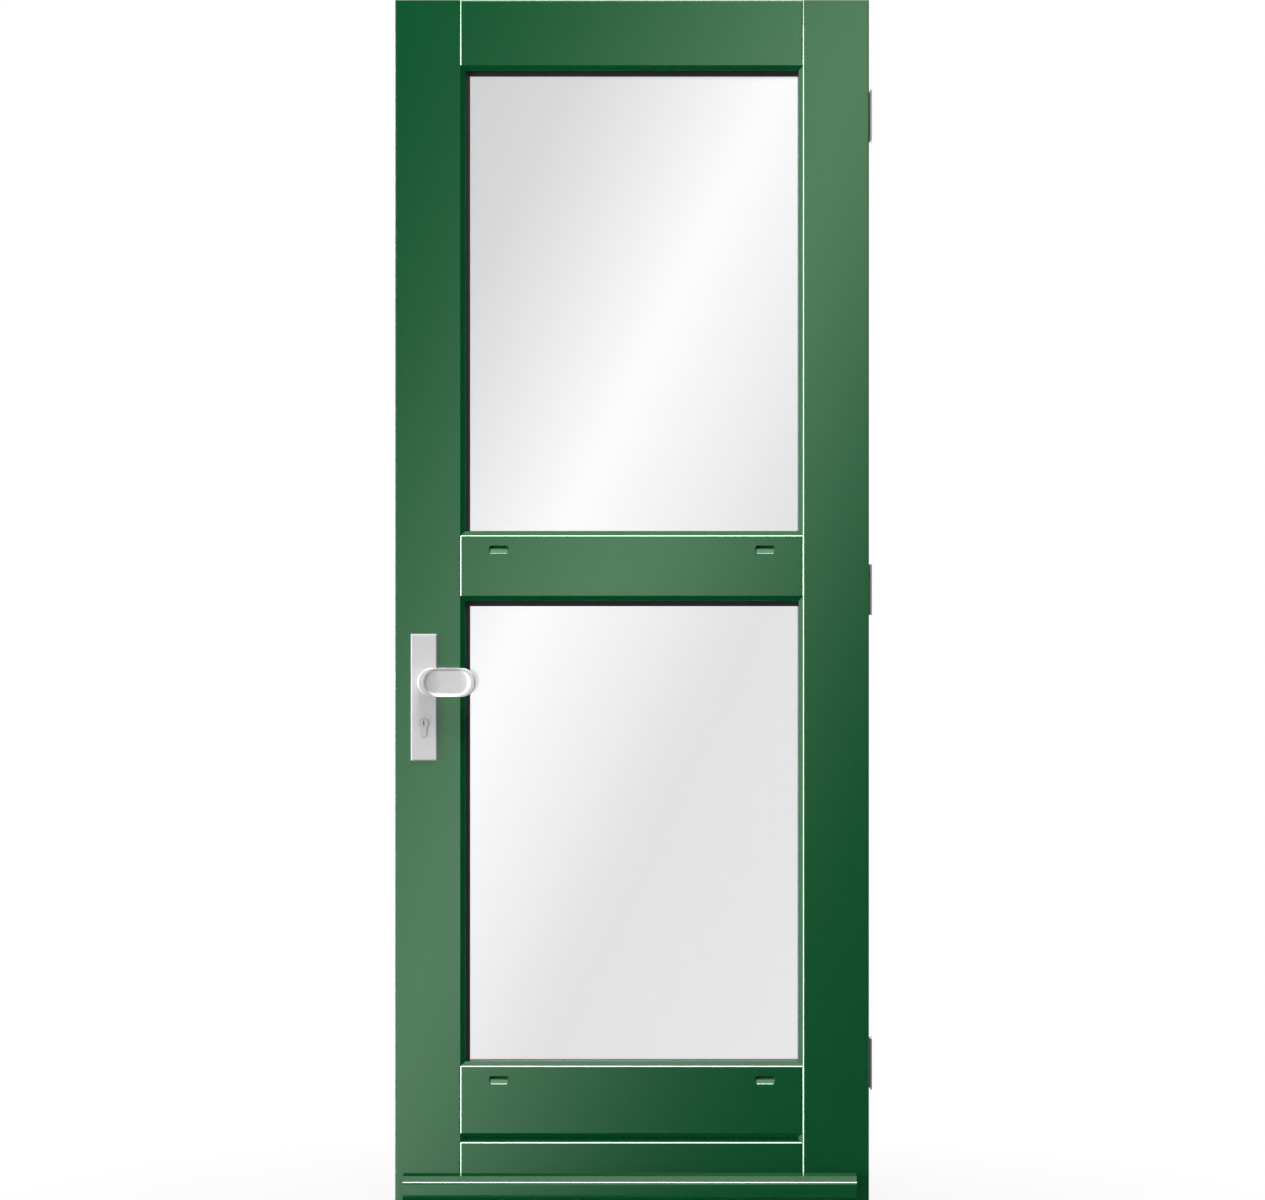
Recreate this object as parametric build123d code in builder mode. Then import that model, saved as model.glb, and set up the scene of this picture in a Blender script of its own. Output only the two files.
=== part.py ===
from build123d import *
from math import cos, radians, sin, tan
import os

# A glazed hardwood front door leaf, hung on three butt hinges, in millimetres.
# It is seen from outside along +Y, with the lock edge at low X and the hinge edge at high X.
# The origin is the centre of the back of the bottom hinge's frame flap, where it lies on the jamb.

# Leaf
leaf_width = 830
leaf_height = 2115
leaf_thickness = 54
leaf_arris = 2
stile_face = 114
top_rail_face = 114
middle_rail_face = 104
bottom_rail_face = 247

# Moulding round each pane, and the rebate behind it that holds the glass
moulding_width = 9.5
moulding_depth = 7
moulding_facet = 1.5
moulding_arris = 2.5
facet_slope = 29
lip_depth = 14
rebate_height = 17
sill_rebate_height = 21

# Grooves that mark the joints of stiles and rails, and the two boards of the bottom rail
joint_groove_width = 3.6
joint_facet = 2
joint_groove_depth = 4
lower_board_face = 115
board_groove = 16
board_groove_depth = 10
board_slope = 6
board_facet = 1.8

# Sealed glass unit, its tapes and setting blocks, and the beads inside
pane_thickness = 4
pane_cavity = 16
spacer_width = 16.5
cover_small = 9.5
cover_large = 16.5
outer_tape = 3
inner_tape = 2
tape_height = 8
tape_setback = 1
block_length = 60
block_inset = 80
bead_chamfer = 5

# Drain slots in the middle and bottom rails, which slope up and in to the sill rebate
drain_length = 35
drain_mouth = 14
drain_drop = 23.3
drain_inset = 68
drain_mouth_slope = 60
drain_mouth_depth = 5
drain_passage_length = 25
drain_passage_height = 6.5
drain_passage_slope = 35
drain_passage_overlap = 2.5

# Weather bar
bar_height = 49
bar_lift = 12
bar_projection = 36
bar_top_drop = 2.5
bar_bevel_drop = 9
bar_bevel_slope = 50
bar_nose_radius = 8
bar_front = 17.5
bar_lock_inset = 15
bar_hinge_inset = 23
drip_radius = 3
drip_inset = 10

# Lock furniture
backset = 51
lock_height = 921
lock_centres = 72
plate_width = 46
plate_height = 222
plate_thickness = 9
plate_chamfer = 2.2
plate_above_knob = 84
knob_neck_width = 34
knob_neck_height = 22
knob_neck_offset = 8
knob_projection = 40
knob_width = 103
knob_height = 51
knob_offset = 41.1
knob_back_rise = 6
knob_back_taper = 45
knob_rim = 6
knob_front_rise = 2
knob_front_taper = 45
knob_dish_width = 81
knob_dish_height = 45
knob_dish_offset = 42.6
knob_dish_depth = 1.5
knob_dish_taper = 60
lever_radius = 9.5
lever_projection = 48
lever_length = 82
lever_collar_radius = 15
lever_collar = 6

# Euro profile cylinder
cylinder_radius = 8.5
cylinder_height = 33
cylinder_tail_width = 10
cylinder_proud = 2
cylinder_clearance = 0.3
profile_recess = 1.8
profile_recess_depth = 1
plug_radius = 6.6
plug_length = 30
plug_clearance = 0.1
keyway_width = 2
keyway_height = 8
keyway_depth = 24

# Mortise lock in the lock stile
case_thickness = 16
case_depth = 76
case_above_knob = 46
case_below_cylinder = 48
case_clearance = 0.3
faceplate_width = 24
faceplate_height = 235
faceplate_thickness = 3
bolt_clearance = 0.3
latch_height = 32
latch_thickness = 12
latch_throw = 12
latch_tail = 40
latch_side = 8
dead_bolt_height = 35
dead_bolt_thickness = 12

# Butt hinges
hinge_height = 89
flap_width = 37.5
flap_thickness = 3
flap_pocket_clearance = 0.2
hinge_gap = 3
knuckle_radius = 6.5
knuckle_count = 3
knuckle_gap = 0.3
knuckle_clearance = 0.5
pin_radius = 3.25
pin_clearance = 0.08
bottom_hinge_height = 250
top_hinge_drop = 200
screw_radius = 2.5
outer_screw_spacing = 68
outer_screw_side = 9
inner_screw_spacing = 26
inner_screw_side = 8

# Places that follow from the sizes
hinge_edge = -flap_thickness - hinge_gap
lock_edge = hinge_edge - leaf_width
inner_face = flap_width / 2
outer_face = inner_face - leaf_thickness
leaf_bottom = -bottom_hinge_height
leaf_top = leaf_bottom + leaf_height
pin_x = -flap_thickness - hinge_gap / 2
pin_y = inner_face + knuckle_radius + knuckle_clearance
hinge_heights = {
    "bottom": 0,
    "middle": (leaf_top - top_hinge_drop) / 2,
    "top": leaf_top - top_hinge_drop,
}

opening_height = (leaf_height - top_rail_face - middle_rail_face - bottom_rail_face) / 2
top_rail_low = leaf_top - top_rail_face
middle_rail_high = top_rail_low - opening_height
middle_rail_low = middle_rail_high - middle_rail_face
bottom_rail_high = middle_rail_low - opening_height
upper_board_low = leaf_bottom + lower_board_face + board_groove
lower_board_high = leaf_bottom + lower_board_face
board_joint = lower_board_high + board_slope
openings = {
    "upper": (middle_rail_high, top_rail_low),
    "lower": (bottom_rail_high, middle_rail_low),
}

rail_start = lock_edge + stile_face + moulding_width - rebate_height
rail_end = hinge_edge - stile_face - moulding_width + rebate_height
rail_length = rail_end - rail_start

outer_tape_back = outer_face + lip_depth + outer_tape
outer_pane_back = outer_tape_back + pane_thickness
inner_pane_front = outer_pane_back + pane_cavity
inner_pane_back = inner_pane_front + pane_thickness
bead_front = inner_pane_back + inner_tape

plate_x = lock_edge + backset
knob_z = leaf_bottom + lock_height
cylinder_z = knob_z - lock_centres
plate_z = knob_z + plate_above_knob - plate_height / 2
lock_y = (outer_face + inner_face) / 2
outside_plate_front = outer_face - plate_thickness
inside_plate_front = inner_face + plate_thickness

os.makedirs("parts", exist_ok=True)


def keep(piece, name):
    """Labels a finished piece and writes it."""
    piece.part.label = name
    export_step(piece.part, f"parts/{name}.step")


def block(x, y, z, mode=Mode.ADD):
    """Adds a block that spans each pair of limits."""
    with Locations(((x[0] + x[1]) / 2, (y[0] + y[1]) / 2, (z[0] + z[1]) / 2)):
        Box(x[1] - x[0], y[1] - y[0], z[1] - z[0], mode=mode)


def round_corners(sketch, points, radius):
    """Rounds the sketch's corners that lie at the points."""
    near = [v for v in sketch.vertices() if any(abs(v.X - x) + abs(v.Y - y) < 0.01 for x, y in points)]
    fillet(near, radius)


# Stiles and rails

def moulded_edge(edge, outward, rebate):
    """Depth and place of a moulded edge: face, facet, bevel, lip and rebate."""
    sight = edge + outward * moulding_width
    floor = sight - outward * rebate
    return [
        (outer_face, edge),
        (outer_face + moulding_facet * tan(radians(facet_slope)), edge + outward * moulding_facet),
        (outer_face + moulding_depth, sight),
        (outer_face + lip_depth, sight),
        (outer_face + lip_depth, floor),
        (inner_face, floor),
    ]


def stile_blank(edge, inward, low, high):
    """Extrudes a stile's section between two heights."""
    moulding = [(x, y) for y, x in moulded_edge(edge + inward * stile_face, inward, rebate_height)]
    outside = [(edge, inner_face), (edge, outer_face)]
    with BuildSketch(Plane.XY.offset(low)) as section:
        with BuildLine():
            Polyline(*outside, *moulding, close=True)
        make_face()
        round_corners(section, outside, leaf_arris)
        round_corners(section, moulding[2:3], moulding_arris)
    extrude(section.sketch, amount=high - low)


def joint_grooves(edge, inward):
    """Cuts the grooves along one stile's joints, outside and inside.

    Each has a steep side towards the lock edge and a facet towards the hinge edge.
    """
    front_x = edge + inward * stile_face
    back_x = front_x + inward * (moulding_width - rebate_height)
    reach = 1
    fronts = [
        (top_rail_low, leaf_top + reach),
        (middle_rail_low, middle_rail_high),
        (upper_board_low, bottom_rail_high),
        (leaf_bottom - reach, lower_board_high),
    ]
    head_edge = rebate_height - moulding_width
    sill_edge = sill_rebate_height - moulding_width
    backs = [
        (top_rail_low + head_edge, leaf_top + reach),
        (middle_rail_low + head_edge, middle_rail_high - sill_edge),
        (leaf_bottom - reach, bottom_rail_high - sill_edge),
    ]
    rise = tan(radians(facet_slope))
    for spans, x, face, into in ((fronts, front_x, outer_face, 1), (backs, back_x, inner_face, -1)):
        high_side = x + joint_facet * (1 + inward) / 2
        low_side = high_side - joint_groove_width
        for low, high in spans:
            with BuildSketch(Plane.XY.offset(low)) as groove:
                with BuildLine():
                    Polyline(
                        (low_side, face - into * reach),
                        (high_side + reach / rise, face - into * reach),
                        (high_side - joint_facet, face + into * joint_facet * rise),
                        (low_side, face + into * joint_groove_depth),
                        close=True,
                    )
                make_face()
            extrude(groove.sketch, amount=high - low, mode=Mode.SUBTRACT)


def leaf_end_arrises():
    """Rounds the long edges of the leaf's top and bottom."""
    for end, into in ((leaf_top, -1), (leaf_bottom, 1)):
        for face, inward in ((outer_face, 1), (inner_face, -1)):
            with BuildSketch(Plane.YZ.offset(lock_edge - leaf_arris)) as corner:
                with Locations((face, end)):
                    Rectangle(2 * leaf_arris, 2 * leaf_arris)
                with Locations((face + inward * leaf_arris, end + into * leaf_arris)):
                    Circle(leaf_arris, mode=Mode.SUBTRACT)
            extrude(corner.sketch, amount=leaf_width + 2 * leaf_arris, mode=Mode.SUBTRACT)


def profile_sketch(plane, grow):
    """Draws the lock cylinder's profile on a plane, larger all round by the given amount."""
    with BuildSketch(plane) as profile:
        Circle(cylinder_radius + grow)
        tail = cylinder_height - cylinder_radius
        with Locations((0, -tail / 2 + cylinder_tail_width / 4)):
            Rectangle(cylinder_tail_width + 2 * grow, tail - cylinder_tail_width / 2)
        with Locations((0, -tail + cylinder_tail_width / 2)):
            Circle(cylinder_tail_width / 2 + grow)
    return profile.sketch


def cylinder_plane(y):
    """A plane at depth y that faces the room, centred on the lock cylinder."""
    return Plane(origin=(plate_x, y, cylinder_z), x_dir=(-1, 0, 0), z_dir=(0, 1, 0))


def cylinder_passage():
    """Cuts the cylinder's way through the leaf."""
    passage = profile_sketch(cylinder_plane(outer_face), cylinder_clearance)
    extrude(passage, amount=leaf_thickness, mode=Mode.SUBTRACT)


case_low = cylinder_z - case_below_cylinder
case_high = knob_z + case_above_knob

with BuildPart() as lock_stile:
    stile_blank(lock_edge, 1, leaf_bottom, leaf_top)
    joint_grooves(lock_edge, 1)
    leaf_end_arrises()
    block(
        (lock_edge, lock_edge + case_depth + case_clearance),
        (lock_y - case_thickness / 2 - case_clearance, lock_y + case_thickness / 2 + case_clearance),
        (case_low - case_clearance, case_high + case_clearance),
        mode=Mode.SUBTRACT,
    )
    block(
        (lock_edge, lock_edge + faceplate_thickness),
        (lock_y - faceplate_width / 2 - case_clearance, lock_y + faceplate_width / 2 + case_clearance),
        (plate_z - faceplate_height / 2 - case_clearance, plate_z + faceplate_height / 2 + case_clearance),
        mode=Mode.SUBTRACT,
    )
    cylinder_passage()
keep(lock_stile, "lock_stile")

with BuildPart() as hinge_stile:
    stile_blank(hinge_edge, -1, leaf_bottom, leaf_top)
    joint_grooves(hinge_edge, -1)
    leaf_end_arrises()
    for height in hinge_heights.values():
        block(
            (hinge_edge - flap_thickness, hinge_edge),
            (-flap_width / 2 - flap_pocket_clearance, inner_face),
            (
                height - hinge_height / 2 - flap_pocket_clearance,
                height + hinge_height / 2 + flap_pocket_clearance,
            ),
            mode=Mode.SUBTRACT,
        )
keep(hinge_stile, "hinge_stile")

with BuildPart() as stile_blanks:
    for edge, inward in ((lock_edge, 1), (hinge_edge, -1)):
        stile_blank(edge, inward, leaf_bottom - leaf_arris, leaf_top + leaf_arris)


def slope_plane(x, depth, z, slope):
    """A plane square to a line that runs in and up at a slope."""
    along = (0, cos(radians(slope)), sin(radians(slope)))
    return Plane(origin=(x, outer_face + depth, z), x_dir=(-1, 0, 0), z_dir=along)


def drain_slots(edge):
    """Cuts the drains below a rail's upper moulded edge: a steep mouth and a passage to the rebate."""
    reach = 12
    mouth_rise = tan(radians(drain_mouth_slope))
    mouth_fall = cos(radians(drain_mouth_slope))
    mouth_z = edge - drain_drop - reach * mouth_rise
    passage_rise = tan(radians(drain_passage_slope))
    passage_start = drain_mouth_depth - drain_passage_overlap
    passage_z = edge - drain_drop + drain_mouth_depth * mouth_rise - drain_passage_overlap * passage_rise
    for x in (lock_edge + stile_face + drain_inset, hinge_edge - stile_face - drain_inset):
        with BuildSketch(slope_plane(x, -reach, mouth_z, drain_mouth_slope)) as mouth:
            SlotOverall(drain_length, drain_mouth * mouth_fall)
        extrude(mouth.sketch, amount=(reach + drain_mouth_depth) / mouth_fall, mode=Mode.SUBTRACT)
        with BuildSketch(slope_plane(x, passage_start, passage_z, drain_passage_slope)) as passage:
            Rectangle(drain_passage_length, drain_passage_height)
        extrude(passage.sketch, amount=lip_depth / cos(radians(drain_passage_slope)), mode=Mode.SUBTRACT)


def rail(upper, lower, sight_corners):
    """A rail whose ends are scribed over the stiles' moulding."""
    with BuildPart() as piece:
        with BuildSketch(Plane.YZ.offset(rail_start)) as section:
            with BuildLine():
                Polyline(*upper, *reversed(lower), close=True)
            make_face()
            if sight_corners:
                round_corners(section, sight_corners, moulding_arris)
        extrude(amount=rail_length)
        add(stile_blanks.part, mode=Mode.SUBTRACT)
        joint_grooves(lock_edge, 1)
        joint_grooves(hinge_edge, -1)
        leaf_end_arrises()
    return piece


top_plain = [(outer_face, leaf_top), (inner_face, leaf_top)]
top_lower = moulded_edge(top_rail_low, -1, rebate_height)
top_rail = rail(top_plain, top_lower, top_lower[2:3])
keep(top_rail, "top_rail")

middle_upper = moulded_edge(middle_rail_high, 1, sill_rebate_height)
middle_lower = moulded_edge(middle_rail_low, -1, rebate_height)
middle_rail = rail(middle_upper, middle_lower, middle_upper[2:3] + middle_lower[2:3])
with middle_rail:
    drain_slots(middle_rail_high)
keep(middle_rail, "middle_rail")

bottom_upper = moulded_edge(bottom_rail_high, 1, sill_rebate_height)
tongue = [
    (outer_face, upper_board_low),
    (outer_face + board_groove_depth, board_joint),
    (inner_face, board_joint),
]
bottom_rail_upper = rail(bottom_upper, tongue, bottom_upper[2:3])
with bottom_rail_upper:
    drain_slots(bottom_rail_high)
keep(bottom_rail_upper, "bottom_rail_upper")

facet_depth = board_facet * tan(radians(facet_slope))
sloped_top = [
    (outer_face, lower_board_high - board_facet),
    (outer_face + facet_depth, lower_board_high),
    (outer_face + board_groove_depth, board_joint),
    (inner_face, board_joint),
]
bottom_plain = [(outer_face, leaf_bottom), (inner_face, leaf_bottom)]
bottom_rail_lower = rail(sloped_top, bottom_plain, [])
keep(bottom_rail_lower, "bottom_rail_lower")

# Weather bar across the foot of the leaf, with a bevelled top, a rounded nose and a drip groove

bar_low = leaf_bottom + bar_lift
bar_high = bar_low + bar_height
nose_turn = 90 - bar_bevel_slope
nose_front = outer_face - bar_projection
bevel_end = (
    nose_front + bar_nose_radius * (1 - cos(radians(nose_turn))),
    bar_high - bar_top_drop - bar_bevel_drop,
)
bevel_start = (bevel_end[0] + bar_bevel_drop / tan(radians(bar_bevel_slope)), bar_high - bar_top_drop)
bar_front_high = bevel_end[1] - bar_nose_radius * sin(radians(nose_turn))
bar_front_low = bar_front_high - bar_front
bar_turn = bar_front_low - bar_low
bar_start = lock_edge + bar_lock_inset
bar_length = leaf_width - bar_lock_inset - bar_hinge_inset

with BuildPart() as weather_bar:
    with BuildSketch(Plane.YZ.offset(bar_start)):
        with BuildLine():
            bevel_fall = (-cos(radians(bar_bevel_slope)), -sin(radians(bar_bevel_slope)))
            Polyline((outer_face, bar_low), (outer_face, bar_high), bevel_start, bevel_end)
            JernArc(start=bevel_end, tangent=bevel_fall, radius=bar_nose_radius, arc_size=nose_turn)
            Line((nose_front, bar_front_high), (nose_front, bar_front_low))
            JernArc(start=(nose_front, bar_front_low), tangent=(0, -1), radius=bar_turn, arc_size=90)
            Line((nose_front + bar_turn, bar_low), (outer_face, bar_low))
        make_face()
        with Locations((nose_front + bar_turn + drip_inset / 2, bar_low)):
            Circle(drip_radius, mode=Mode.SUBTRACT)
    extrude(amount=bar_length)
keep(weather_bar, "weather_bar")

# Sealed glass units, with their tapes, setting blocks and beads

sight_left = lock_edge + stile_face + moulding_width
sight_right = hinge_edge - stile_face - moulding_width


def slab(x, z, front, back):
    """Extrudes a rectangle from its front depth to its back depth."""
    block(x, (front, back), z)


def ring(x, z, width, front, back):
    """A rectangular ring, which a smaller rectangle is cut from."""
    with BuildPart() as piece:
        block(x, (front, back), z)
        inside_x, inside_z = (x[0] + width, x[1] - width), (z[0] + width, z[1] - width)
        block(inside_x, (front, back), inside_z, mode=Mode.SUBTRACT)
    return piece


def bead(corners):
    """A glazing bead of the given outline, whose last two corners are its sight edge."""
    with BuildPart() as piece:
        with BuildSketch(Plane(origin=(0, bead_front, 0), x_dir=(-1, 0, 0), z_dir=(0, 1, 0))):
            with BuildLine():
                Polyline(*[(-x, z) for x, z in corners], close=True)
            make_face()
        extrude(amount=inner_face - bead_front)
        (x0, z0), (x1, z1) = corners[-2:]
        middle = Vector((x0 + x1) / 2, inner_face, (z0 + z1) / 2)
        sight_edge = piece.edges().sort_by_distance(middle)[0]
        chamfer(sight_edge, bead_chamfer)
    return piece


for place, (low, high) in openings.items():
    sight_low, sight_high = low + moulding_width, high - moulding_width
    unit_x = (sight_left - cover_small, sight_right + cover_large)
    unit_z = (sight_low - cover_large, sight_high + cover_small)

    with BuildPart() as outer_pane:
        slab(unit_x, unit_z, outer_tape_back, outer_pane_back)
    keep(outer_pane, f"{place}_outer_pane")

    with BuildPart() as inner_pane:
        slab(unit_x, unit_z, inner_pane_front, inner_pane_back)
    keep(inner_pane, f"{place}_inner_pane")

    keep(ring(unit_x, unit_z, spacer_width, outer_pane_back, inner_pane_front), f"{place}_spacer")

    tape_reach = tape_height + tape_setback
    tape_x = (sight_left - tape_reach, sight_right + tape_reach)
    tape_z = (sight_low - tape_reach, sight_high + tape_reach)
    keep(ring(tape_x, tape_z, tape_height, outer_face + lip_depth, outer_tape_back), f"{place}_outer_tape")
    keep(ring(tape_x, tape_z, tape_height, inner_pane_back, bead_front), f"{place}_inner_tape")

    floor_z = sight_low - sill_rebate_height
    left, right = sight_left - rebate_height, sight_right + rebate_height
    head, foot = sight_high + rebate_height, sight_low - rebate_height
    bead_outlines = {
        "top": [(left, head), (right, head), (sight_right, sight_high), (sight_left, sight_high)],
        "lock_side": [(left, foot), (left, head), (sight_left, sight_high), (sight_left, sight_low)],
        "hinge_side": [(right, head), (right, foot), (sight_right, sight_low), (sight_right, sight_high)],
        "bottom": [
            (right, foot),
            (right, floor_z),
            (left, floor_z),
            (left, foot),
            (sight_left, sight_low),
            (sight_right, sight_low),
        ],
    }
    for side, corners in bead_outlines.items():
        keep(bead(corners), f"{place}_{side}_bead")

with BuildPart() as setting_blocks:
    for low, high in openings.values():
        floor_z = low + moulding_width - sill_rebate_height
        seat_z = low + moulding_width - cover_large
        first = sight_left - cover_small + block_inset
        last = sight_right + cover_large - block_inset - block_length
        for x in (first, last):
            slab((x, x + block_length), (floor_z, seat_z), outer_tape_back, inner_pane_back)
keep(setting_blocks, "setting_blocks")

# Lock furniture: plates, fixed outside knob, inside lever and profile cylinder


def plate(back, front):
    """A long plate with chamfered front edges and the cylinder's hole."""
    with BuildPart() as piece:
        block(
            (plate_x - plate_width / 2, plate_x + plate_width / 2),
            (min(back, front), max(back, front)),
            (plate_z - plate_height / 2, plate_z + plate_height / 2),
        )
        front_face = piece.faces().sort_by_distance((plate_x, front, plate_z))[0]
        chamfer(front_face.edges(), plate_chamfer)
        hole = profile_sketch(cylinder_plane(min(back, front)), cylinder_clearance)
        extrude(hole, amount=plate_thickness, mode=Mode.SUBTRACT)
    return piece


outside_plate = plate(outer_face, outside_plate_front)
with outside_plate:
    recess = profile_sketch(cylinder_plane(outside_plate_front), profile_recess)
    extrude(recess, amount=profile_recess_depth, mode=Mode.SUBTRACT)
keep(outside_plate, "outside_plate")

inside_plate = plate(inner_face, inside_plate_front)
keep(inside_plate, "inside_plate")


def knob_oval(projection, offset, width, height, facing=-1):
    """Draws an oval at a distance in front of the plate, facing outside or back to the plate."""
    origin = (plate_x + offset, outside_plate_front - projection, knob_z)
    with BuildSketch(Plane(origin=origin, x_dir=(1, 0, 0), z_dir=(0, facing, 0))) as oval:
        SlotOverall(width, height)
    return oval.sketch


with BuildPart() as outside_knob:
    rim_start = knob_projection + knob_back_rise
    rim_end = rim_start + knob_rim
    front = rim_end + knob_front_rise
    extrude(knob_oval(0, knob_neck_offset, knob_neck_width, knob_neck_height), amount=rim_start)
    back_rim = knob_oval(rim_start, knob_offset, knob_width, knob_height, facing=1)
    extrude(back_rim, amount=knob_back_rise, taper=knob_back_taper)
    extrude(knob_oval(rim_start, knob_offset, knob_width, knob_height), amount=knob_rim)
    front_rim = knob_oval(rim_end, knob_offset, knob_width, knob_height)
    extrude(front_rim, amount=knob_front_rise, taper=knob_front_taper)
    dish = knob_oval(front, knob_dish_offset, knob_dish_width, knob_dish_height, facing=1)
    extrude(dish, amount=knob_dish_depth, taper=knob_dish_taper, mode=Mode.SUBTRACT)
keep(outside_knob, "outside_knob")

with BuildPart() as inside_lever:
    collar_plane = Plane(origin=(plate_x, inside_plate_front, knob_z), x_dir=(-1, 0, 0), z_dir=(0, 1, 0))
    with BuildSketch(collar_plane):
        Circle(lever_collar_radius)
    extrude(amount=lever_collar)
    with BuildLine() as lever_path:
        Polyline(
            (plate_x, inside_plate_front + lever_collar / 2, knob_z),
            (plate_x, inside_plate_front + lever_projection, knob_z),
            (plate_x + lever_length, inside_plate_front + lever_projection, knob_z),
        )
    with BuildSketch(collar_plane.offset(lever_collar / 2)):
        Circle(lever_radius)
    sweep(path=lever_path.line, transition=Transition.RIGHT)
keep(inside_lever, "inside_lever")

cylinder_front = outside_plate_front - cylinder_proud
cylinder_back = inside_plate_front + cylinder_proud

with BuildPart() as cylinder_body:
    extrude(profile_sketch(cylinder_plane(cylinder_front), 0), amount=cylinder_back - cylinder_front)
    for start in (cylinder_front, cylinder_back - plug_length):
        with BuildSketch(cylinder_plane(start)):
            Circle(plug_radius + plug_clearance)
        extrude(amount=plug_length, mode=Mode.SUBTRACT)
keep(cylinder_body, "cylinder_body")

with BuildPart() as cylinder_plugs:
    for start, mouth in (
        (cylinder_front, cylinder_front),
        (cylinder_back - plug_length, cylinder_back - keyway_depth),
    ):
        with BuildSketch(cylinder_plane(start)):
            Circle(plug_radius)
        extrude(amount=plug_length)
        block(
            (plate_x - keyway_width / 2, plate_x + keyway_width / 2),
            (mouth, mouth + keyway_depth),
            (cylinder_z - keyway_height / 2, cylinder_z + keyway_height / 2),
            mode=Mode.SUBTRACT,
        )
keep(cylinder_plugs, "cylinder_plugs")

# Mortise lock: case, faceplate, latch bolt and dead bolt

case_front = lock_edge + faceplate_thickness
latch_z = knob_z
dead_bolt_z = cylinder_z


def bolt_hole(z, height, thickness, depth):
    """Cuts the passage of a bolt, with its clearance."""
    block(
        (lock_edge, depth),
        (lock_y - thickness / 2 - bolt_clearance, lock_y + thickness / 2 + bolt_clearance),
        (z - height / 2 - bolt_clearance, z + height / 2 + bolt_clearance),
        mode=Mode.SUBTRACT,
    )


with BuildPart() as lock_case:
    block(
        (case_front, lock_edge + case_depth),
        (lock_y - case_thickness / 2, lock_y + case_thickness / 2),
        (case_low, case_high),
    )
    bolt_hole(latch_z, latch_height, latch_thickness, lock_edge + latch_tail)
    bolt_hole(dead_bolt_z, dead_bolt_height, dead_bolt_thickness, lock_edge + latch_tail)
    cylinder_passage()
keep(lock_case, "lock_case")

with BuildPart() as lock_faceplate:
    block(
        (lock_edge, case_front),
        (lock_y - faceplate_width / 2, lock_y + faceplate_width / 2),
        (plate_z - faceplate_height / 2, plate_z + faceplate_height / 2),
    )
    bolt_hole(latch_z, latch_height, latch_thickness, case_front)
    bolt_hole(dead_bolt_z, dead_bolt_height, dead_bolt_thickness, case_front)
keep(lock_faceplate, "lock_faceplate")

with BuildPart() as latch_bolt:
    latch_low, latch_high = lock_y - latch_thickness / 2, lock_y + latch_thickness / 2
    with BuildSketch(Plane.XY.offset(latch_z - latch_height / 2)):
        with BuildLine():
            Polyline(
                (lock_edge + latch_tail, latch_low),
                (lock_edge, latch_low),
                (lock_edge - latch_throw, latch_low + latch_side),
                (lock_edge - latch_throw, latch_high),
                (lock_edge + latch_tail, latch_high),
                close=True,
            )
        make_face()
    extrude(amount=latch_height)
keep(latch_bolt, "latch_bolt")

with BuildPart() as dead_bolt:
    block(
        (lock_edge, lock_edge + latch_tail),
        (lock_y - dead_bolt_thickness / 2, lock_y + dead_bolt_thickness / 2),
        (dead_bolt_z - dead_bolt_height / 2, dead_bolt_z + dead_bolt_height / 2),
    )
keep(dead_bolt, "dead_bolt")

# Butt hinges: a flap on the frame, a flap let into the leaf, and the pin through their knuckles

knuckle_length = (hinge_height - (knuckle_count - 1) * knuckle_gap) / knuckle_count


def flap(height, near, first_knuckle):
    """A hinge flap from its near side, with every second knuckle round the pin."""
    low = height - hinge_height / 2
    far = near + flap_thickness
    with BuildPart() as piece:
        block((near, far), (-flap_width / 2, inner_face), (low, low + hinge_height))
        for index in range(first_knuckle, knuckle_count, 2):
            start = low + index * (knuckle_length + knuckle_gap)
            block((near, far), (inner_face, pin_y), (start, start + knuckle_length))
            with BuildSketch(Plane.XY.offset(start)):
                with Locations((pin_x, pin_y)):
                    Circle(knuckle_radius)
            extrude(amount=knuckle_length)
            with BuildSketch(Plane.XY.offset(start)):
                with Locations((pin_x, pin_y)):
                    Circle(pin_radius + pin_clearance)
            extrude(amount=knuckle_length, mode=Mode.SUBTRACT)
    return piece


for place, height in hinge_heights.items():
    frame_flap = flap(height, -flap_thickness, first_knuckle=0)
    with frame_flap:
        for spacing, side in (
            (outer_screw_spacing, -outer_screw_side),
            (inner_screw_spacing, inner_screw_side),
        ):
            for z in (height - spacing / 2, height + spacing / 2):
                with Locations(Plane(origin=(0, side, z), z_dir=(1, 0, 0))):
                    Hole(screw_radius)
    keep(frame_flap, f"{place}_hinge_frame_flap")

    leaf_flap = flap(height, hinge_edge - flap_thickness, first_knuckle=1)
    keep(leaf_flap, f"{place}_hinge_leaf_flap")

    with BuildPart() as hinge_pin:
        with BuildSketch(Plane.XY.offset(height - hinge_height / 2)):
            with Locations((pin_x, pin_y)):
                Circle(pin_radius)
        extrude(amount=hinge_height)
    keep(hinge_pin, f"{place}_hinge_pin")
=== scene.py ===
import bmesh
import bpy
from math import atan2, cos, pi, sin
from mathutils import Matrix, Vector


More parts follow.
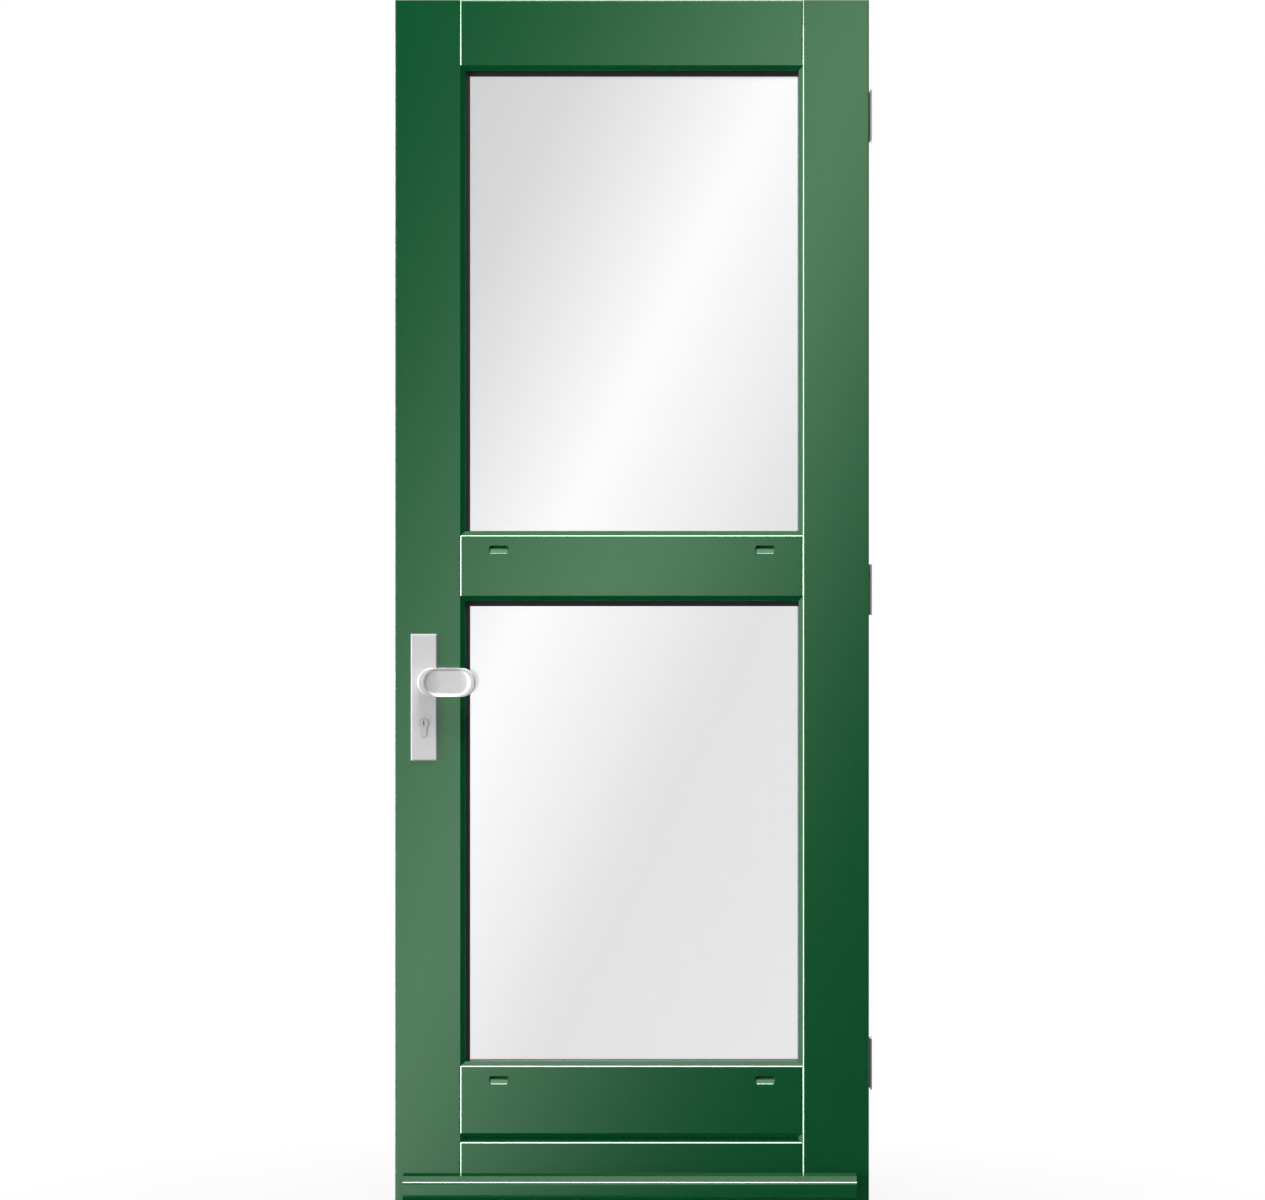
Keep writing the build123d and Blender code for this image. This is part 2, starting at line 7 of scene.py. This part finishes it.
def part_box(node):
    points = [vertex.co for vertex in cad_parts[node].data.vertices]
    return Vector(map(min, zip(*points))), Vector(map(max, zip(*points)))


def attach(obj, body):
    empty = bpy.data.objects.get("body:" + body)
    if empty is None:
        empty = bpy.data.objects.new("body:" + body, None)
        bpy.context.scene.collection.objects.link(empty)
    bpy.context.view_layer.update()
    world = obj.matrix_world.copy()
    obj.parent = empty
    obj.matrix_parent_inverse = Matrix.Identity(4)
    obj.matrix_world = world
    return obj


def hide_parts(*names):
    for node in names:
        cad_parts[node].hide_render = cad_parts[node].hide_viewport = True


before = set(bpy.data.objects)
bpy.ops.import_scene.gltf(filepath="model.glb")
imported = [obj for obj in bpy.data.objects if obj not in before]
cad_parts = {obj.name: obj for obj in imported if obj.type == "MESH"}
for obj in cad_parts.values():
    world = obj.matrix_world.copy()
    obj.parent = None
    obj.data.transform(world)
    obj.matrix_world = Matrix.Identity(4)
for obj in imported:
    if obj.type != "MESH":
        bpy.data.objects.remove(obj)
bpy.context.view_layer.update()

# Stiles and rails
# Hardwood members joined with mortises and tenons, primed and sprayed dark green. The paint follows
# the grain, which runs up the stiles and along the rails, and is dull in the routed drains.

leaf_low, leaf_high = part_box("lock_stile")[0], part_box("hinge_stile")[1]
leaf_centre = (leaf_low + leaf_high) / 2
paint_green = (0.0018, 0.089, 0.0255, 1.0)
paint_green_deep = (0.0014, 0.080, 0.0225, 1.0)
paint_shine = (0.66, 1.0, 0.68, 1.0)
paint_roughness = 0.11
brush_scale = 160.0
brush_height = 0.0002
drain_spread = 0.233
drain_half_length = 0.020
drain_half_height = 0.018
drain_drop = 0.031
drain_skin = 0.0004
drain_dullness = 0.42


class Link:
    """An output of a finish's nodes. Sums, products, powers and tests on it add Math nodes."""

    def __init__(self, finish, socket):
        self.finish = finish
        self.socket = socket

    def math(self, operation, first, second):
        return self.finish.add("ShaderNodeMath", {"operation": operation}, {0: first, 1: second})

    def __add__(self, other):
        return self.math("ADD", self, other)

    __radd__ = __add__

    def __sub__(self, other):
        return self.math("SUBTRACT", self, other)

    def __rsub__(self, other):
        return self.math("SUBTRACT", other, self)

    def __mul__(self, other):
        return self.math("MULTIPLY", self, other)

    __rmul__ = __mul__

    def __pow__(self, power):
        return self.math("POWER", self, power)

    def __lt__(self, other):
        return self.math("LESS_THAN", self, other)

    def __gt__(self, other):
        return self.math("GREATER_THAN", self, other)

    def __abs__(self):
        return self.math("ABSOLUTE", self, 0.0)

    def clamped(self):
        """Keeps the result of a Math node between nothing and one."""
        self.socket.node.use_clamp = True
        return self


class Finish:
    """The nodes of one material or world."""

    def __init__(self, owner):
        self.owner = owner
        owner.use_nodes = True
        self.tree = owner.node_tree
        self.tree.nodes.clear()

    def add(self, kind, settings=None, inputs=None, output=0):
        """Adds a node with its settings and inputs, and returns the link of one output."""
        node = self.tree.nodes.new(kind)
        for name, value in (settings or {}).items():
            setattr(node, name, value)
        for name, value in (inputs or {}).items():
            if isinstance(value, Link):
                self.tree.links.new(value.socket, node.inputs[name])
            else:
                node.inputs[name].default_value = value
        return Link(self, node.outputs[output]) if node.outputs else None

    def noise(self, stretch, scale, detail=2.0):
        """A soft pattern from the piece's own coordinates, drawn out along its grain."""
        place = self.add("ShaderNodeTexCoord", output="Object")
        drawn = self.add("ShaderNodeMapping", None, {"Vector": place, "Scale": stretch})
        return self.add(
            "ShaderNodeTexNoise",
            {"noise_dimensions": "3D"},
            {"Vector": drawn, "Scale": scale, "Detail": detail, "Roughness": 0.5},
        )

    def mix(self, factor, first, second):
        """Blends two colours."""
        return self.add("ShaderNodeMix", {"data_type": "RGBA"}, {0: factor, 6: first, 7: second}, 2)

    def ramp(self, share, stops):
        """Turns a share into the greys of a ramp, whose stops are given in order."""
        greys = self.add("ShaderNodeValToRGB", None, {"Fac": share})
        elements = greys.socket.node.color_ramp.elements
        elements.remove(elements[0])
        elements[0].position = stops[0][0]
        for position, _ in stops[1:]:
            elements.new(position)
        for element, (_, grey) in zip(elements, stops):
            element.color = (grey, grey, grey, 1.0)
        return greys

    def bump(self, height, distance, strength):
        """Turns a height into a normal."""
        return self.add(
            "ShaderNodeBump", None, {"Height": height, "Distance": distance, "Strength": strength}
        )

    def surface(self, inputs):
        """Ends the material in a plain surface."""
        shader = self.add("ShaderNodeBsdfPrincipled", None, inputs)
        self.add("ShaderNodeOutputMaterial", None, {"Surface": shader})


def dress(names, finish):
    """Gives pieces of the frame their finish."""
    for name in names:
        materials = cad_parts[name].data.materials
        materials.clear()
        materials.append(finish.owner)


def in_drains(finish, edge):
    """One inside a rail's two drains, which lie below its upper edge, and nothing elsewhere."""
    place = finish.add("ShaderNodeTexCoord", output="Object")
    x, y, z = (finish.add("ShaderNodeSeparateXYZ", None, {0: place}, axis) for axis in "XYZ")
    along = abs(abs(x - leaf_centre.x) - drain_spread) < drain_half_length
    level = abs(z - (edge - drain_drop)) < drain_half_height
    deep = y > leaf_low.y + drain_skin
    return along * level * deep


def green_paint(name, stretch, drained_edge=None):
    """Semi-gloss paint with faint brush lines along the grain, dull in drains below a drained edge."""
    paint = Finish(bpy.data.materials.new(name))
    lines = paint.noise(stretch, brush_scale, 3.0)
    cloud = paint.noise((1.0, 1.0, 1.0), 3.0)
    roughness = paint_roughness + 0.03 * lines
    if drained_edge is not None:
        roughness = roughness + drain_dullness * in_drains(paint, drained_edge)
    paint.surface({
        "Base Color": paint.mix(cloud, paint_green, paint_green_deep),
        "Roughness": roughness,
        "Normal": paint.bump(lines, brush_height, 0.04),
        "IOR": 1.6,
        "Specular IOR Level": 1.0,
        "Specular Tint": paint_shine,
    })
    return paint


upright_paint = green_paint("upright green paint", (1.0, 1.0, 0.05))
level_paint = green_paint("level green paint", (0.05, 1.0, 1.0))
dress(("lock_stile", "hinge_stile"), upright_paint)
dress(("top_rail", "bottom_rail_lower"), level_paint)
for rail in ("middle_rail", "bottom_rail_upper"):
    dress((rail,), green_paint(f"{rail} green paint", (0.05, 1.0, 1.0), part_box(rail)[1].z))

# Weather bar
# A moulded hardwood strip, glued and screwed from inside across the foot of the leaf, and painted
# with it.

dress(("weather_bar",), level_paint)

# Glass units
# Two float panes in each opening, held apart by a black spacer with black sealant round it, between
# black tapes.

glass_tint = (0.892, 0.896, 0.894, 1.0)
glass_shadow = (0.85, 0.86, 0.86, 1.0)
places = ("upper", "lower")
grain_height = 0.0001


def grained(name, colour, scale, roughness, spread, relief):
    """A plain dull finish with a fine grain."""
    finish = Finish(bpy.data.materials.new(name))
    grain = finish.noise((1.0, 1.0, 1.0), scale)
    finish.surface({
        "Base Color": colour,
        "Roughness": roughness + spread * grain,
        "Normal": finish.bump(grain, grain_height, relief),
    })
    return finish


glass = Finish(bpy.data.materials.new("clear float glass"))
pane = glass.add("ShaderNodeBsdfPrincipled", None, {
    "Base Color": glass_tint,
    "Roughness": 0.0,
    "IOR": 1.65,
    "Transmission Weight": 1.0,
})
through = glass.add("ShaderNodeBsdfTransparent", None, {"Color": glass_shadow})
is_shadow = glass.add("ShaderNodeLightPath", output="Is Shadow Ray")
glass.add("ShaderNodeOutputMaterial", None, {
    "Surface": glass.add("ShaderNodeMixShader", None, {0: is_shadow, 1: pane, 2: through}),
})
dress([f"{place}_{side}_pane" for place in places for side in ("outer", "inner")], glass)

spacer_black = grained("black spacer", (0.012, 0.012, 0.012, 1.0), 900.0, 0.5, 0.1, 0.2)
dress([f"{place}_spacer" for place in places], spacer_black)
tape_black = grained("black tape", (0.016, 0.016, 0.017, 1.0), 1500.0, 0.7, 0.15, 0.4)
dress([f"{place}_{side}_tape" for place in places for side in ("outer", "inner")], tape_black)

# Painted shadow lines
# Each unit stands on its blocks towards the hinges, so its margin is wider beside the lock and at the
# head. There a thin flat black strip lies on the outer pane. It is painted shadow, standing for the
# shade that the mouldings beside the lock and at the head cast on the glass in light from the upper
# left.

painted_shadow_width = 0.0072
painted_shadow_head = 0.009
painted_shadow_height = 0.0012
painted_shadow_edge = 0.0004
painted_shadow_gap = 0.0001


def make_piece(name, bm, finish, body):
    """Makes a piece of its mesh, with its finish and body."""
    mesh = bpy.data.meshes.new(name)
    bm.to_mesh(mesh)
    bm.free()
    mesh.materials.append(finish.owner)
    piece = bpy.data.objects.new(name, mesh)
    bpy.context.scene.collection.objects.link(piece)
    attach(piece, body)
    return piece


# The strip's black is painted shadow, and it lies only beside the lock and under the head.
painted_shadow_black = grained("black painted shadow", (0.009, 0.0085, 0.009, 1.0), 400.0, 0.5, 0.1, 0.2)
for place in places:
    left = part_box(f"{place}_lock_side_bead")[1].x
    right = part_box(f"{place}_hinge_side_bead")[0].x
    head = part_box(f"{place}_top_bead")[0].z
    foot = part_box(f"{place}_bottom_bead")[1].z
    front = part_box(f"{place}_outer_pane")[0].y - painted_shadow_gap
    corners = (
        (left, foot), (left + painted_shadow_width, foot), (left + painted_shadow_width, head - painted_shadow_head),
        (right, head - painted_shadow_head), (right, head), (left, head),
    )
    line = bmesh.new()
    outline = line.faces.new([line.verts.new((x, front, z)) for x, z in corners])
    grown = bmesh.ops.extrude_face_region(line, geom=[outline])["geom"]
    raised = [v for v in grown if isinstance(v, bmesh.types.BMVert)]
    bmesh.ops.translate(line, vec=(0, -painted_shadow_height, 0), verts=raised)
    bmesh.ops.recalc_face_normals(line, faces=line.faces)
    arrises = [e for e in line.edges if all(v in raised for v in e.verts)]
    bmesh.ops.bevel(
        line, geom=arrises, offset=painted_shadow_edge, affect="EDGES", segments=2, profile=0.5, material=-1
    )
    make_piece(f"{place}_painted_shadow_line", line, painted_shadow_black, "leaf")

# Setting blocks
# Moulded grey plastic blocks that carry the glass units on the rails.

block_grey = grained("grey plastic", (0.05, 0.05, 0.053, 1.0), 700.0, 0.5, 0.1, 0.2)
dress(("setting_blocks",), block_grey)

# Glazing beads
# Mitred hardwood strips that are pinned inside, round each glass unit, and painted with the leaf.

for place in places:
    dress([f"{place}_lock_side_bead", f"{place}_hinge_side_bead"], upright_paint)
    dress([f"{place}_top_bead", f"{place}_bottom_bead"], level_paint)

# Hinges
# Satin stainless butt hinges. The leaf flaps are let into the hinge stile and held by countersunk
# screws with a cross recess.

hinge_places = ("bottom", "middle", "top")
hinge_screw_radius = 0.0044
hinge_screw_proud = 0.0003
outer_screw = (-0.009, 0.034)
inner_screw = (0.008, 0.013)
head_foot = 0.55
head_depth = 0.45
head_flat = 0.7
recess_half = 0.12
recess_reach = 0.75
recess_lip = 0.04
recess_depth = 0.3
metal_dim = 0.94
metal_line_height = 0.00005


def brushed_metal(name, colour, stretch, roughness, metallic=1.0):
    """Satin metal with fine lines from brushing. Below one, the metallic share makes it look matt."""
    metal = Finish(bpy.data.materials.new(name))
    lines = metal.noise(stretch, 1200.0)
    cloud = metal.noise((1.0, 1.0, 1.0), 40.0)
    dim = tuple(metal_dim * part for part in colour[:3]) + (1.0,)
    metal.surface({
        "Base Color": metal.mix(cloud, colour, dim),
        "Metallic": metallic,
        "Roughness": roughness + 0.08 * lines,
        "Normal": metal.bump(lines, metal_line_height, 0.15),
    })
    return metal


def add_screw(bm, place, facing, radius):
    """Adds a countersunk head with a cross recess, its top at the place, in shares of its radius."""
    before = set(bm.faces)
    foot, depth = head_foot * radius, head_depth * radius
    bmesh.ops.create_cone(bm, cap_ends=True, segments=24, radius1=foot, radius2=radius, depth=depth)
    bm.normal_update()
    top = [f for f in bm.faces if f not in before and f.normal.z > 0.9]
    bmesh.ops.inset_region(bm, faces=top, thickness=(1 - head_flat) * radius, depth=0.0)
    slot = recess_half * radius
    for across in (Vector((1, 0, 0)), Vector((0, 1, 0))):
        for side in (-slot, slot):
            inner = [f for f in bm.faces if f not in before and is_inner(f, recess_reach * radius)]
            edges = {e for f in inner for e in f.edges}
            corners = {v for f in inner for v in f.verts}
            bmesh.ops.bisect_plane(
                bm, geom=inner + list(edges) + list(corners), plane_co=across * side, plane_no=across
            )
    inner = [f for f in bm.faces if f not in before and is_inner(f, recess_reach * radius)]
    cross = [f for f in inner if min(map(abs, f.calc_center_median().xy)) < slot]
    bmesh.ops.inset_region(
        bm, faces=cross, thickness=recess_lip * radius, depth=-recess_depth * radius
    )
    new_corners = {v for f in bm.faces if f not in before for v in f.verts}
    sink = Matrix.Translation((0, 0, -depth / 2))
    turn = Vector((0, 0, 1)).rotation_difference(facing).to_matrix().to_4x4()
    bmesh.ops.transform(bm, matrix=Matrix.Translation(place) @ turn @ sink, verts=list(new_corners))


def is_inner(face, radius):
    """Says whether a face lies flat on top of a screw's head, within a radius of its middle."""
    return face.normal.z > 0.9 and all(v.co.xy.length < radius for v in face.verts)


hinge_steel = brushed_metal("satin stainless steel", (0.66, 0.66, 0.65, 1.0), (1.0, 1.0, 0.05), 0.3)
screw_steel = brushed_metal("bright screw steel", (0.6, 0.6, 0.59, 1.0), (1.0, 1.0, 1.0), 0.28)
for place in hinge_places:
    dress([f"{place}_hinge_{part}" for part in ("frame_flap", "leaf_flap", "pin")], hinge_steel)
    low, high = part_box(f"{place}_hinge_leaf_flap")
    height = (low.z + high.z) / 2
    face_x = leaf_high.x + hinge_screw_proud
    screws = bmesh.new()
    for side, spacing in (outer_screw, inner_screw):
        for z in (height - spacing, height + spacing):
            add_screw(screws, Vector((face_x, side, z)), Vector((1, 0, 0)), hinge_screw_radius)
    make_piece(f"{place}_hinge_screws", screws, screw_steel, "leaf")

# Mortise lock
# A steel case let into the lock stile, with a satin stainless faceplate that two screws hold, a latch
# bolt and a dead bolt.

faceplate_screw_radius = 0.0038
faceplate_screw_inset = 0.009
screw_proud = 0.0002

lock_steel = brushed_metal("satin lock steel", (0.64, 0.64, 0.63, 1.0), (1.0, 1.0, 0.05), 0.32)
dress(("lock_case", "lock_faceplate", "latch_bolt", "dead_bolt"), lock_steel)
low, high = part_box("lock_faceplate")
screws = bmesh.new()
for z in (low.z + faceplate_screw_inset, high.z - faceplate_screw_inset):
    place = Vector((low.x - screw_proud, (low.y + high.y) / 2, z))
    add_screw(screws, place, Vector((-1, 0, 0)), faceplate_screw_radius)
make_piece("lock_faceplate_screws", screws, screw_steel, "leaf")

# Plates, lever and cylinder
# Natural anodised aluminium plates with chamfered edges, held from inside by two screws, with a lever
# inside and a nickel plated profile cylinder through both.

plate_screw_radius = 0.0042
plate_screw_inset = 0.012

aluminium_grey = (0.86, 0.86, 0.87, 1.0)
aluminium = brushed_metal("satin anodised aluminium", aluminium_grey, (1.0, 1.0, 0.05), 0.34, 0.6)
nickel = brushed_metal("matt nickel", (0.78, 0.77, 0.75, 1.0), (1.0, 1.0, 1.0), 0.32, 0.6)
dress(("outside_plate", "inside_plate", "inside_lever"), aluminium)
dress(("cylinder_body", "cylinder_plugs"), nickel)
low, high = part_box("inside_plate")
screws = bmesh.new()
for z in (low.z + plate_screw_inset, high.z - plate_screw_inset):
    place = Vector(((low.x + high.x) / 2, high.y + screw_proud, z))
    add_screw(screws, place, Vector((0, 1, 0)), plate_screw_radius)
make_piece("inside_plate_screws", screws, screw_steel, "leaf")

# Outside knob
# An oval knob of anodised aluminium, fixed on a cranked neck. Its rings, from back to front, each have
# a distance, an offset, a width, a height and a share of the dish.

knob_low, knob_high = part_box("outside_knob")
knob_middle = (knob_low.z + knob_high.z) / 2
knob_sides = 48
knob_rings = (
    (0.000, 0.008, 0.036, 0.024, 0.0),
    (0.004, 0.008, 0.034, 0.022, 0.0),
    (0.026, 0.008, 0.034, 0.022, 0.0),
    (0.036, 0.016, 0.048, 0.028, 0.0),
    (0.040, 0.038, 0.084, 0.038, 0.0),
    (0.043, 0.041, 0.098, 0.046, 0.0),
    (0.0465, 0.0411, 0.1028, 0.0506, 0.0),
    (0.0500, 0.0411, 0.1026, 0.0508, 0.3),
    (0.0522, 0.0418, 0.0985, 0.0500, 0.6),
    (0.0532, 0.0424, 0.0900, 0.0484, 0.8),
    (0.0539, 0.0426, 0.0820, 0.0468, 0.9),
    (0.0536, 0.0426, 0.0795, 0.0448, 0.9),
    (0.0530, 0.0426, 0.0765, 0.0425, 0.95),
    (0.0526, 0.0426, 0.0730, 0.0395, 1.0),
    (0.0525, 0.0426, 0.0600, 0.0290, 1.0),
    (0.0525, 0.0426, 0.0440, 0.0180, 1.0),
    (0.0525, 0.0426, 0.0200, 0.0060, 1.0),
)
knob_dish = 0.007
knob_half = 0.0514


def oval_ring(corners, width, height, middle, dish):
    """Lays a ring of corners out as an oval with straight long sides, sunk between its ends."""
    radius = height / 2
    straight = (width - height) / 2
    for number, corner in enumerate(corners):
        angle = 2 * pi * (number + 0.5) / len(corners)
        shift = straight if cos(angle) > 0 else -straight
        across = radius * cos(angle) + shift
        sunk = dish * (1 - (across / knob_half) ** 2)
        corner.co = middle + Vector((across, sunk, radius * sin(angle)))


plate_low, plate_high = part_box("outside_plate")
neck_x = (plate_low.x + plate_high.x) / 2
knob = bmesh.new()
ring = bmesh.ops.create_circle(knob, cap_ends=False, segments=knob_sides, radius=0.01)["verts"]
for number, (distance, offset, width, height, dish) in enumerate(knob_rings):
    if number:
        edges = [e for e in knob.edges if all(v in ring for v in e.verts)]
        grown = bmesh.ops.extrude_edge_only(knob, edges=edges)["geom"]
        fresh = [v for v in grown if isinstance(v, bmesh.types.BMVert)]
        ring = sorted(fresh, key=lambda v: atan2(v.co.z - knob_middle, v.co.x - last_x) % (2 * pi))
    last_x = neck_x + offset
    middle = Vector((last_x, knob_high.y - distance, knob_middle))
    oval_ring(ring, width, height, middle, dish * knob_dish)
bmesh.ops.holes_fill(knob, edges=knob.edges, sides=0)
bmesh.ops.recalc_face_normals(knob, faces=knob.faces)
for face in knob.faces:
    face.smooth = True
knob_piece = make_piece("outside_knob_shape", knob, aluminium, "leaf")
knob_curve = knob_piece.modifiers.new("rounding", "SUBSURF")
knob_curve.levels = knob_curve.render_levels = 2
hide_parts("outside_knob")

# Studio
# A pale floor under white, soft lamps beside, above and behind the leaf, a grey card in front that
# shows its light band in paint and glass, and black flags that darken the hinge side and the foot.

floor_drop = 0.008
floor_size = 60.0
floor_shade = 0.22
floor_shade_reach = 1.2
photo_width = 1265
photo_height = 1200
photo_scale = 0.001751
photo_leaf_left = 395
lens = 135.0
sensor = 36.0
card_distance = 8.0
card_size = 9.0
band_high_width = 0.74
band_low_width = 0.58
band_rise = 2.10
band_lift = 0.089
band_strength = 1.6
band_fade = 1.6
glass_reach = 0.6
glass_strength = 2.4
glass_stops = (
    (0.02, 0.00), (0.125, 0.11), (0.21, 0.35), (0.40, 0.96), (0.50, 0.61),
    (0.58, 0.49), (0.67, 0.32), (0.71, 0.30), (0.79, 0.41), (1.00, 0.575),
)
card_dark = 0.03
side_flag_size = 5.5
side_flag_place = (3.0, -2.6, 0.0)
low_flag_size = 4.4
low_flag_place = (0.0, -1.2, -2.6)
flag_light = 0.01
ambient = 0.22

camera_data = bpy.data.cameras.new("camera")
camera_data.lens = lens
camera_data.sensor_width = sensor
camera_data.clip_end = 200.0
camera = bpy.data.objects.new("camera", camera_data)
bpy.context.scene.collection.objects.link(camera)
camera_distance = lens / sensor * photo_width * photo_scale
camera.location = (
    leaf_low.x + (photo_width / 2 - photo_leaf_left) * photo_scale,
    leaf_low.y - camera_distance,
    leaf_high.z - photo_height / 2 * photo_scale,
)
camera.rotation_euler = (pi / 2, 0, 0)
bpy.context.scene.camera = camera
leaf_foot = Vector((leaf_centre.x, leaf_centre.y, leaf_low.z - floor_drop))


def stage_plane(name, size, place, finish):
    """Lays a square sheet that isn't part of the object."""
    bm = bmesh.new()
    bmesh.ops.create_grid(bm, x_segments=1, y_segments=1, size=size / 2, matrix=place)
    mesh = bpy.data.meshes.new(name)
    bm.to_mesh(mesh)
    bm.free()
    mesh.materials.append(finish.owner)
    sheet = bpy.data.objects.new(name, mesh)
    bpy.context.scene.collection.objects.link(sheet)
    return sheet


def seen_share(finish):
    """One for the rays of camera, gloss and glass, and nothing for the rest."""
    rays = ("Is Camera Ray", "Is Glossy Ray", "Is Transmission Ray")
    seen, mirrored, passed = (finish.add("ShaderNodeLightPath", output=ray) for ray in rays)
    return (seen + mirrored + passed).clamped()


def mirrored_share(finish):
    """One for rays that something has mirrored, and nothing for the rest."""
    bounces = finish.add("ShaderNodeLightPath", output="Glossy Depth")
    return bounces.math("MINIMUM", bounces, 1.0)


floor = Finish(bpy.data.materials.new("pale floor"))
floor_spot = floor.add("ShaderNodeTexCoord", output="Object")
from_foot = floor.add(
    "ShaderNodeVectorMath", {"operation": "DISTANCE"}, {0: floor_spot, 1: leaf_foot}, "Value"
)
near_foot = (1 - from_foot * (1 / floor_shade_reach)).clamped()
glow_share = (1 - floor_shade * near_foot) * seen_share(floor)
matt = floor.add("ShaderNodeBsdfDiffuse", None, {"Color": (0.8, 0.8, 0.8, 1.0)})
glow = floor.add("ShaderNodeEmission", None, {"Color": (1.0, 1.0, 1.0, 1.0), "Strength": 1.0})
seen_floor = floor.add("ShaderNodeMixShader", None, {0: glow_share, 1: matt, 2: glow})
no_floor = floor.add("ShaderNodeBsdfTransparent")
floor_surface = {0: mirrored_share(floor), 1: seen_floor, 2: no_floor}
floor.add("ShaderNodeOutputMaterial", None, {
    "Surface": floor.add("ShaderNodeMixShader", None, floor_surface),
})
ground = stage_plane("floor", floor_size, Matrix.Translation(leaf_foot), floor)
ground.visible_glossy = False

world = Finish(bpy.data.worlds.new("white world"))
strength = ambient + (1.0 - ambient) * seen_share(world)
sky = world.add("ShaderNodeBackground", None, {"Color": (1.0, 1.0, 1.0, 1.0), "Strength": strength})
world.add("ShaderNodeOutputWorld", None, {"Surface": sky})
bpy.context.scene.world = world.owner


def mirrored_sheet(name, size, place, finish, strength):
    """Hangs a glowing or dark sheet that only shows as a reflection."""
    light = finish.add("ShaderNodeEmission", None, {"Strength": strength})
    clear = finish.add("ShaderNodeBsdfTransparent")
    surface = {0: mirrored_share(finish), 1: clear, 2: light}
    finish.add("ShaderNodeOutputMaterial", None, {
        "Surface": finish.add("ShaderNodeMixShader", None, surface),
    })
    sheet = stage_plane(name, size, place, finish)
    sheet.visible_camera = False
    sheet.visible_diffuse = False
    sheet.visible_shadow = False


spread = 1 + card_distance / camera_distance
band = Finish(bpy.data.materials.new("grey card with a light band"))
card_spot = band.add("ShaderNodeTexCoord", output="Object")
across = band.add("ShaderNodeSeparateXYZ", None, {0: card_spot}, "X") - camera.location.x
upward = band.add("ShaderNodeSeparateXYZ", None, {0: card_spot}, "Z") - camera.location.z
offset = across * band_rise - upward + band_lift * spread
from_line = offset * (1 / (spread * (1 + band_rise ** 2) ** 0.5))
below, above = from_line * (1 / band_low_width), from_line * (-1 / band_high_width)
near_band = (1 - from_line.math("MAXIMUM", below, above)).clamped()
in_paint = card_dark + band_strength * near_band ** band_fade
glass_place = (from_line + glass_reach) * (0.5 / glass_reach)
in_glass = glass_strength * band.ramp(glass_place, glass_stops)
inside_glass = band.add("ShaderNodeLightPath", output="Is Transmission Ray")
band_light = in_paint * (1 - inside_glass) + in_glass * inside_glass
card_place = Matrix.Translation((camera.location.x, leaf_low.y - card_distance, camera.location.z))
upright = Matrix.Rotation(pi / 2, 4, "X")
mirrored_sheet("card", card_size, card_place @ upright, band, band_light)

middle = Vector((leaf_centre.x, leaf_low.y, leaf_centre.z))
side_place = Matrix.Translation(middle + Vector(side_flag_place)) @ Matrix.Rotation(pi / 2, 4, "Y")
side_black = Finish(bpy.data.materials.new("black side flag"))
mirrored_sheet("side_flag", side_flag_size, side_place, side_black, flag_light)
low_place = Matrix.Translation(middle + Vector(low_flag_place))
low_black = Finish(bpy.data.materials.new("black low flag"))
mirrored_sheet("low_flag", low_flag_size, low_place, low_black, flag_light)


def lamp(name, width, height, radiance, place):
    """Hangs a soft rectangular lamp that faces the leaf."""
    light = bpy.data.lights.new(name, "AREA")
    light.shape = "RECTANGLE"
    light.size, light.size_y = width, height
    light.energy = radiance * pi * width * height
    hung = bpy.data.objects.new(name, light)
    bpy.context.scene.collection.objects.link(hung)
    hung.location = middle + Vector(place)
    hung.rotation_euler = (-Vector(place)).to_track_quat("-Z", "Y").to_euler()
    hung.visible_camera = False
    hung.visible_transmission = False


lamp("left_lamp", 1.3, 3.8, 20.0, (-5.95, -3.72, 0.0))
lamp("top_lamp", 2.0, 2.2, 20.0, (0.0, -4.3, 5.5))
lamp("back_lamp", 3.0, 3.0, 2.6, (-2.5, 4.5, 2.5))

bpy.context.scene.view_settings.view_transform = "Standard"
